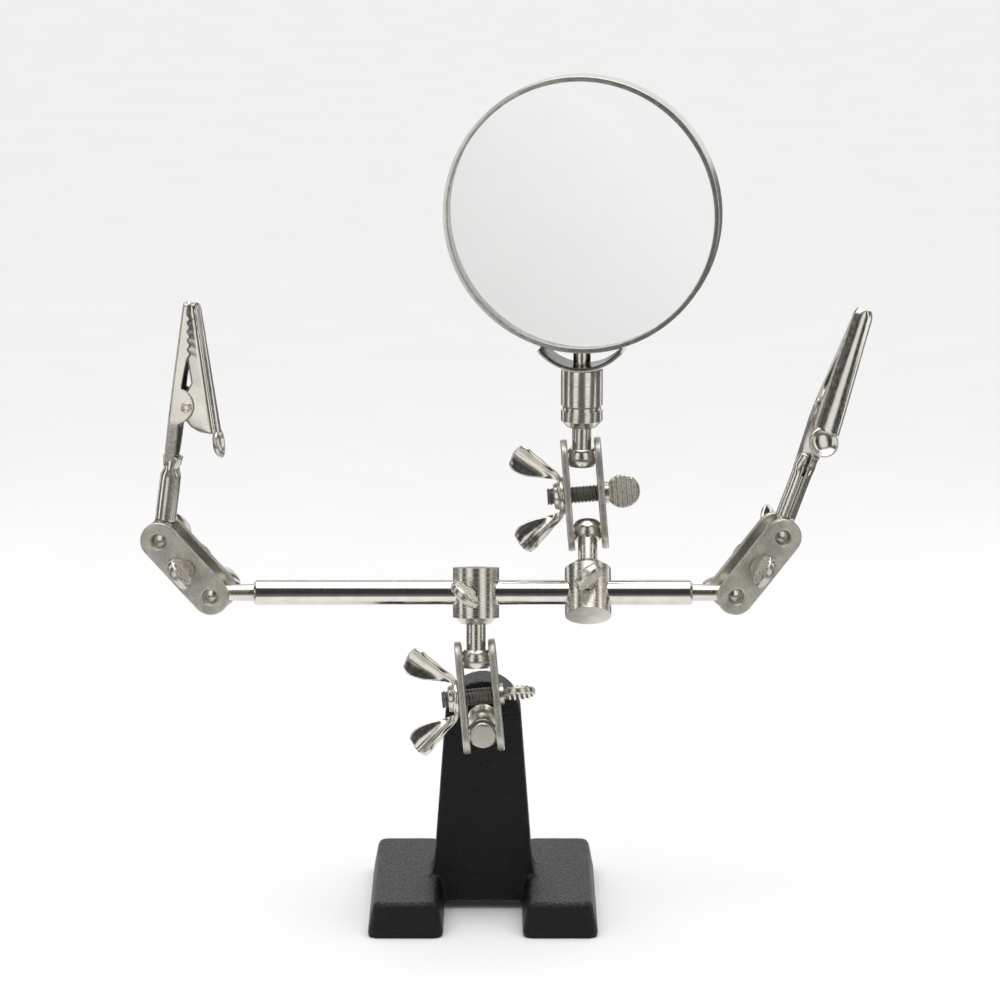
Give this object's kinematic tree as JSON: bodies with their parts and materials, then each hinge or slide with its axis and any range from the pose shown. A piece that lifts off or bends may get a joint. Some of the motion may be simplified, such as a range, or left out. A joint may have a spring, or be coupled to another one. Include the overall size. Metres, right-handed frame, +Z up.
{
  "type": "helping hands clamp",
  "caption": "Bench helping hands: weighted base, ball jointed crossbar with alligator clips at both ends, and a round magnifying glass held by a plate clamp with a wing nut.",
  "frame": {"origin": "on the bench plane at the centre of the base", "axes": "+Z up, -Y is the front, +X to the right seen from the front"},
  "size_m": [0.1671, 0.058, 0.1954],
  "materials": {
    "black_paint": "cast iron under black crackle paint",
    "tumbled_nickel": "tumbled nickel plate, fine grain",
    "bright_nickel": "bright nickel plate",
    "turned_nickel": "nickel plate over fine turned rings",
    "clip_nickel": "nickel plated spring steel sheet",
    "zinc_steel": "plain plated steel",
    "lens_glass": "clear polished glass"
  },
  "bodies": {
    "base": {"base_casting": "black_paint", "base_stud_washer": "zinc_steel"},
    "base_stud": {"base_ball_stud": "bright_nickel", "base_stud_nut": "zinc_steel"},
    "lower_clamp": {"lower_clamp_left_plate": "tumbled_nickel", "lower_clamp_right_plate": "tumbled_nickel"},
    "lower_bolt": {"lower_clamp_bolt": "bright_nickel"},
    "lower_wing_nut": {"lower_clamp_wing_nut": "bright_nickel"},
    "center_stud": {"center_swivel_stud": "bright_nickel"},
    "center_swivel": {"center_swivel_body": "turned_nickel"},
    "center_screw": {"center_swivel_screw": "bright_nickel"},
    "bar": {"crossbar": "bright_nickel"},
    "left_stud": {"crossbar_left_stud": "bright_nickel"},
    "right_stud": {"crossbar_right_stud": "bright_nickel"},
    "mag_swivel": {"magnifier_swivel_body": "turned_nickel"},
    "mag_stud": {"magnifier_swivel_stud": "bright_nickel"},
    "mag_screw": {"magnifier_swivel_screw": "bright_nickel"},
    "upper_clamp": {"upper_clamp_left_plate": "tumbled_nickel", "upper_clamp_right_plate": "tumbled_nickel"},
    "upper_bolt": {"upper_clamp_bolt": "bright_nickel"},
    "upper_wing_nut": {"upper_clamp_wing_nut": "bright_nickel"},
    "lens_ball": {"lens_stud": "bright_nickel"},
    "magnifier": {"lens_holder": "turned_nickel", "lens_saddle": "bright_nickel", "lens_rim": "bright_nickel", "lens_glass": "lens_glass"},
    "left_arm": {"left_arm_front_plate": "tumbled_nickel", "left_arm_back_plate": "tumbled_nickel"},
    "left_bolt": {"left_arm_bolt": "bright_nickel"},
    "left_wing_nut": {"left_arm_wing_nut": "bright_nickel"},
    "left_clip_ball": {"left_clip_stud": "bright_nickel"},
    "left_clip": {"left_clip_jaw": "clip_nickel", "left_clip_rivet": "bright_nickel", "left_clip_spring": "zinc_steel"},
    "left_lever": {"left_clip_lever": "clip_nickel"},
    "right_arm": {"right_arm_front_plate": "tumbled_nickel", "right_arm_back_plate": "tumbled_nickel"},
    "right_bolt": {"right_arm_bolt": "bright_nickel"},
    "right_wing_nut": {"right_arm_wing_nut": "bright_nickel"},
    "right_clip_ball": {"right_clip_stud": "bright_nickel"},
    "right_clip": {"right_clip_jaw": "clip_nickel", "right_clip_rivet": "bright_nickel", "right_clip_spring": "zinc_steel"},
    "right_lever": {"right_clip_lever": "clip_nickel"}
  },
  "joints": [
    {"name": "base_stud_turn", "type": "hinge", "parent": "base", "child": "base_stud", "pos_m": [0, -0.02, 0.0462], "axis": [0, 1, 0], "range_deg": [-40, 40]},
    {"name": "lower_clamp_tilt", "type": "hinge", "parent": "base_stud", "child": "lower_clamp", "pos_m": [0, -0.02, 0.0462], "axis": [0.9956, 0, 0.0941], "range_deg": [-12, 75]},
    {"name": "lower_bolt_turn", "type": "hinge", "parent": "lower_clamp", "child": "lower_bolt", "pos_m": [-0.00078, -0.01777, 0.05447], "axis": [0.9956, 0, 0.0941], "continuous": true},
    {"name": "lower_wing_nut_turn", "type": "hinge", "parent": "lower_clamp", "child": "lower_wing_nut", "pos_m": [-0.00078, -0.01777, 0.05447], "axis": [-0.9956, 0, -0.0941], "continuous": true},
    {"name": "center_stud_tilt", "type": "hinge", "parent": "lower_clamp", "child": "center_stud", "pos_m": [-0.00156, -0.01555, 0.06274], "axis": [-0.9956, 0, -0.0941], "range_deg": [-70, 40]},
    {"name": "center_swivel_turn", "type": "hinge", "parent": "center_stud", "child": "center_swivel", "pos_m": [-0.00156, -0.01555, 0.06274], "axis": [0, 0.1736, 0.9848], "continuous": true},
    {"name": "center_screw_turn", "type": "hinge", "parent": "center_swivel", "child": "center_screw", "pos_m": [-0.00156, -0.01289, 0.07781], "axis": [-0.2588, -0.9513, 0.1677], "continuous": true},
    {"name": "crossbar_slide", "type": "slide", "parent": "center_swivel", "child": "bar", "axis": [-1, 0, 0], "range_m": [-0.042, 0.012]},
    {"name": "left_stud_turn", "type": "hinge", "parent": "bar", "child": "left_stud", "pos_m": [-0.06161, -0.01289, 0.07781], "axis": [1, 0, 0], "continuous": true},
    {"name": "right_stud_turn", "type": "hinge", "parent": "bar", "child": "right_stud", "pos_m": [0.05719, -0.01289, 0.07781], "axis": [1, 0, 0], "continuous": true},
    {"name": "magnifier_swivel_turn", "type": "hinge", "parent": "bar", "child": "mag_swivel", "pos_m": [0.02414, -0.01289, 0.07781], "axis": [-1, 0, 0], "range_deg": [-100, 60]},
    {"name": "magnifier_screw_turn", "type": "hinge", "parent": "mag_swivel", "child": "mag_screw", "pos_m": [0.02414, -0.01289, 0.07781], "axis": [0, -0.8192, 0.5736], "continuous": true},
    {"name": "magnifier_stud_turn", "type": "hinge", "parent": "mag_swivel", "child": "mag_stud", "pos_m": [0.02414, -0.00412, 0.09034], "axis": [0, 0.5736, 0.8192], "continuous": true},
    {"name": "upper_clamp_tilt", "type": "hinge", "parent": "mag_stud", "child": "upper_clamp", "pos_m": [0.02414, -0.00412, 0.09034], "axis": [-0.9968, 0, -0.0802], "range_deg": [-60, 60]},
    {"name": "upper_bolt_turn", "type": "hinge", "parent": "upper_clamp", "child": "upper_bolt", "pos_m": [0.02346, -0.00242, 0.09874], "axis": [0.9968, 0, 0.0802], "continuous": true},
    {"name": "upper_wing_nut_turn", "type": "hinge", "parent": "upper_clamp", "child": "upper_wing_nut", "pos_m": [0.02346, -0.00242, 0.09874], "axis": [-0.9968, 0, -0.0802], "continuous": true},
    {"name": "lens_stud_tilt", "type": "hinge", "parent": "upper_clamp", "child": "lens_ball", "pos_m": [0.02278, -0.00072, 0.10715], "axis": [0.9968, 0, 0.0802], "range_deg": [-80, 80]},
    {"name": "magnifier_turn", "type": "hinge", "parent": "lens_ball", "child": "magnifier", "pos_m": [0.02278, -0.00072, 0.10715], "axis": [0, 0, 1], "continuous": true},
    {"name": "left_arm_tilt", "type": "hinge", "parent": "left_stud", "child": "left_arm", "pos_m": [-0.06161, -0.01289, 0.07781], "axis": [-0.1736, -0.9848, 0], "range_deg": [-45, 60]},
    {"name": "left_bolt_turn", "type": "hinge", "parent": "left_arm", "child": "left_bolt", "pos_m": [-0.06745, -0.01186, 0.08404], "axis": [-0.1736, -0.9848, 0], "continuous": true},
    {"name": "left_wing_nut_turn", "type": "hinge", "parent": "left_arm", "child": "left_wing_nut", "pos_m": [-0.06745, -0.01186, 0.08404], "axis": [0.1736, 0.9848, 0], "continuous": true},
    {"name": "left_clip_tilt", "type": "hinge", "parent": "left_arm", "child": "left_clip_ball", "pos_m": [-0.07329, -0.01083, 0.09026], "axis": [0.1736, 0.9848, 0], "range_deg": [-45, 45]},
    {"name": "left_clip_turn", "type": "hinge", "parent": "left_clip_ball", "child": "left_clip", "pos_m": [-0.07329, -0.01083, 0.09026], "axis": [0.132, -0.0233, 0.991], "continuous": true},
    {"name": "left_clip_open", "type": "hinge", "parent": "left_clip", "child": "left_lever", "pos_m": [-0.06678, -0.01198, 0.12126], "axis": [0.1736, 0.9848, 0], "range_deg": [0, 22], "stiffness_Nm_per_rad": 0.02, "springref_deg": -17.19},
    {"name": "right_arm_tilt", "type": "hinge", "parent": "right_stud", "child": "right_arm", "pos_m": [0.05719, -0.01289, 0.07781], "axis": [0.1736, -0.9848, 0], "range_deg": [-60, 45]},
    {"name": "right_bolt_turn", "type": "hinge", "parent": "right_arm", "child": "right_bolt", "pos_m": [0.06252, -0.01195, 0.08449], "axis": [0.1736, -0.9848, 0], "continuous": true},
    {"name": "right_wing_nut_turn", "type": "hinge", "parent": "right_arm", "child": "right_wing_nut", "pos_m": [0.06252, -0.01195, 0.08449], "axis": [-0.1736, 0.9848, 0], "continuous": true},
    {"name": "right_clip_tilt", "type": "hinge", "parent": "right_arm", "child": "right_clip_ball", "pos_m": [0.06785, -0.01101, 0.09117], "axis": [0.1736, -0.9848, 0], "range_deg": [-45, 45]},
    {"name": "right_clip_turn", "type": "hinge", "parent": "right_clip_ball", "child": "right_clip", "pos_m": [0.06785, -0.01101, 0.09117], "axis": [0.3465, 0.0611, 0.9361], "continuous": true},
    {"name": "right_clip_open", "type": "hinge", "parent": "right_clip", "child": "right_lever", "pos_m": [0.07902, -0.01147, 0.12083], "axis": [0.9335, 0.0761, -0.3505], "range_deg": [0, 22], "stiffness_Nm_per_rad": 0.02, "springref_deg": -17.19}
  ]
}
